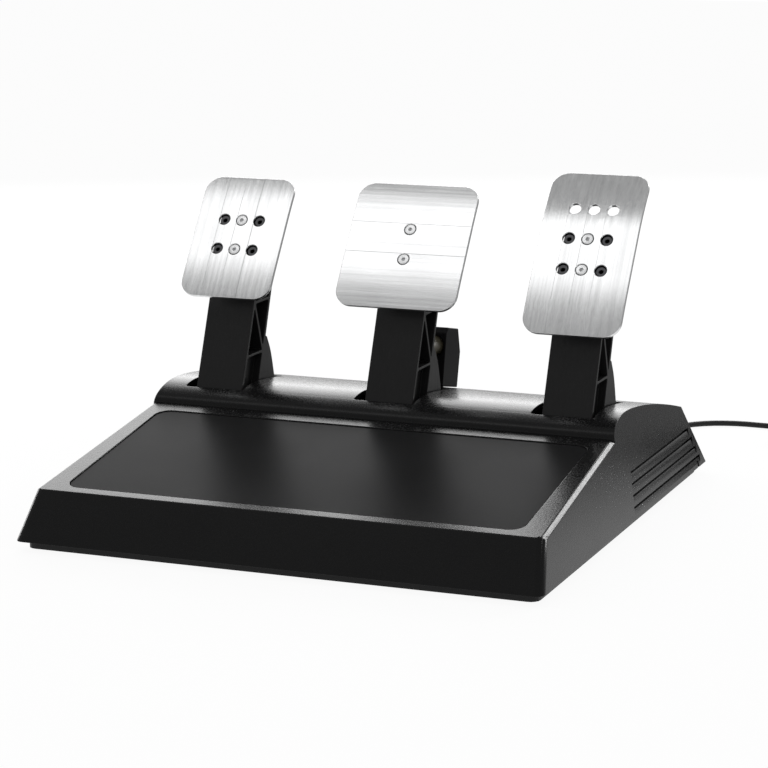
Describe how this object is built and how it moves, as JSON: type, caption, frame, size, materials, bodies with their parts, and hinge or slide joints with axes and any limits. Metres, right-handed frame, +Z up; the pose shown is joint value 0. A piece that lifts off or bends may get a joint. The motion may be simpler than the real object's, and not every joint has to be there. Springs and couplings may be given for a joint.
{
  "type": "three-pedal floor unit",
  "caption": "Floor unit for a driving simulator: clutch, brake and throttle pedals with brushed plates on ribbed arms, which pivot in the hood of a sloping base with a heel pad.",
  "frame": {"origin": "on the floor, under the middle of the base", "axes": "+X to the driver's right across the pedals, +Y away from the driver, +Z up"},
  "size_m": [0.4185, 0.4989, 0.209],
  "materials": {
    "shell": "black moulding with a fine grain and a satin sheen",
    "heel_pad": "smooth black sheet with a soft gloss",
    "arm_plastic": "black glass-filled moulding, satin",
    "brushed_metal": "brushed sheet metal with rounded edges",
    "screw_steel": "bright turned steel",
    "plated_steel": "zinc-plated folded sheet and turned pins",
    "spring_steel": "drawn spring wire",
    "rubber": "black rubber",
    "gear_plastic": "unpigmented acetal",
    "bush_bronze": "sintered bearing bronze",
    "sensor_plastic": "dark moulded sensor housing",
    "board": "green coated circuit board",
    "lead_plastic": "smooth black cable jacket",
    "plug_plastic": "clear moulded plug"
  },
  "bodies": {
    "root": {"base_shell": "shell", "heel_pad": "heel_pad", "base_plate": "plated_steel", "rubber_foot_front_left": "rubber", "rubber_foot_front_right": "rubber", "rubber_foot_rear_left": "rubber", "rubber_foot_rear_right": "rubber", "clutch_bracket": "plated_steel", "clutch_pivot_pin": "plated_steel", "clutch_pin_clip": "spring_steel", "clutch_return_spring": "spring_steel", "clutch_spring_guide": "arm_plastic", "clutch_sensor": "sensor_plastic", "clutch_sensor_lead": "lead_plastic", "brake_bracket": "plated_steel", "brake_pivot_pin": "plated_steel", "brake_pin_clip": "spring_steel", "brake_return_spring": "spring_steel", "brake_spring_guide": "arm_plastic", "brake_sensor": "sensor_plastic", "brake_sensor_lead": "lead_plastic", "throttle_bracket": "plated_steel", "throttle_pivot_pin": "plated_steel", "throttle_pin_clip": "spring_steel", "throttle_return_spring": "spring_steel", "throttle_spring_guide": "arm_plastic", "throttle_sensor": "sensor_plastic", "throttle_sensor_lead": "lead_plastic", "brake_stop_block": "arm_plastic", "brake_stop_bumper": "rubber", "circuit_board": "board", "inner_lead": "lead_plastic", "strain_relief": "rubber", "cord_stretch": "lead_plastic", "cord_coil": "lead_plastic", "cord_tail": "lead_plastic", "cord_tie": "lead_plastic", "cord_plug": "plug_plastic"},
    "clutch_pedal": {"clutch_arm": "arm_plastic", "clutch_hub_bush": "bush_bronze", "clutch_face_plate": "brushed_metal", "clutch_face_screw_lower": "screw_steel", "clutch_face_screw_upper": "screw_steel", "clutch_sensor_sector": "gear_plastic"},
    "clutch_sensor_gear": {"clutch_sensor_pinion": "gear_plastic"},
    "brake_pedal": {"brake_arm": "arm_plastic", "brake_hub_bush": "bush_bronze", "brake_face_plate": "brushed_metal", "brake_face_screw_lower": "screw_steel", "brake_face_screw_upper": "screw_steel", "brake_sensor_sector": "gear_plastic"},
    "brake_sensor_gear": {"brake_sensor_pinion": "gear_plastic"},
    "throttle_pedal": {"throttle_arm": "arm_plastic", "throttle_hub_bush": "bush_bronze", "throttle_face_plate": "brushed_metal", "throttle_face_screw_lower": "screw_steel", "throttle_face_screw_upper": "screw_steel", "throttle_sensor_sector": "gear_plastic"},
    "throttle_sensor_gear": {"throttle_sensor_pinion": "gear_plastic"}
  },
  "joints": [
    {"name": "clutch_press", "type": "hinge", "parent": "root", "child": "clutch_pedal", "pos_m": [-0.1149, 0.007, 0.031], "axis": [-1, 0, 0], "range_deg": [0, 20], "stiffness_Nm_per_rad": 7, "springref_deg": -14.32, "deforming": ["clutch_return_spring"]},
    {"name": "clutch_sensor_turn", "type": "hinge", "parent": "root", "child": "clutch_sensor_gear", "pos_m": [-0.1332, 0.03634, 0.02476], "axis": [-1, 0, 0], "range_deg": [-82, 2]},
    {"name": "brake_press", "type": "hinge", "parent": "root", "child": "brake_pedal", "pos_m": [0.0025, 0.007, 0.031], "axis": [-1, 0, 0], "range_deg": [0, 12], "stiffness_Nm_per_rad": 12, "springref_deg": -14.32, "deforming": ["brake_return_spring"]},
    {"name": "brake_sensor_turn", "type": "hinge", "parent": "root", "child": "brake_sensor_gear", "pos_m": [-0.0158, 0.03634, 0.02476], "axis": [-1, 0, 0], "range_deg": [-50, 2]},
    {"name": "throttle_press", "type": "hinge", "parent": "root", "child": "throttle_pedal", "pos_m": [0.1199, 0.007, 0.031], "axis": [-1, 0, 0], "range_deg": [0, 20], "stiffness_Nm_per_rad": 4, "springref_deg": -17.19, "deforming": ["throttle_return_spring"]},
    {"name": "throttle_sensor_turn", "type": "hinge", "parent": "root", "child": "throttle_sensor_gear", "pos_m": [0.1016, 0.03634, 0.02476], "axis": [-1, 0, 0], "range_deg": [-82, 2]}
  ],
  "couplings": [
    {"joint": "clutch_sensor_turn", "follows": "clutch_press", "ratio": -4},
    {"joint": "brake_sensor_turn", "follows": "brake_press", "ratio": -4},
    {"joint": "throttle_sensor_turn", "follows": "throttle_press", "ratio": -4}
  ]
}
